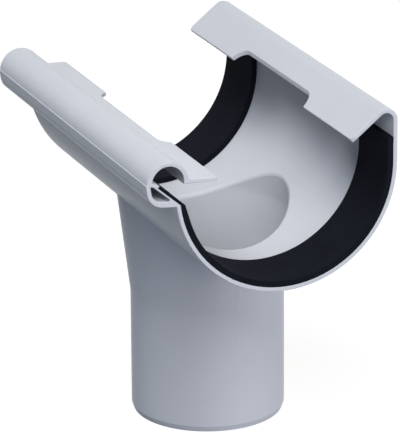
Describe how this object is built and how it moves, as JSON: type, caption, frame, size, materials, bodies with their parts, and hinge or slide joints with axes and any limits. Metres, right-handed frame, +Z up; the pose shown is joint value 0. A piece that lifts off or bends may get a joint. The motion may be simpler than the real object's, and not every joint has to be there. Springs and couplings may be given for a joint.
{
  "type": "gutter outlet",
  "caption": "Gutter outlet for a half-round rain gutter: trough with a bead shell in front, a hook at the rear, a rubber seal strip inside each end and a funnel with a spigot for the downpipe.",
  "frame": {"origin": "centre of the spigot's foot, where the downpipe side begins", "axes": "+X along the gutter, -Y towards the front with the bead, +Y towards the wall, +Z up along the spigot"},
  "size_m": [0.203, 0.1349, 0.1862],
  "materials": {
    "grey_plastic": "satin moulded PVC",
    "black_rubber": "matt rubber"
  },
  "bodies": {
    "root": {"outlet_body": "grey_plastic", "left_seal": "black_rubber", "right_seal": "black_rubber"}
  },
  "joints": []
}
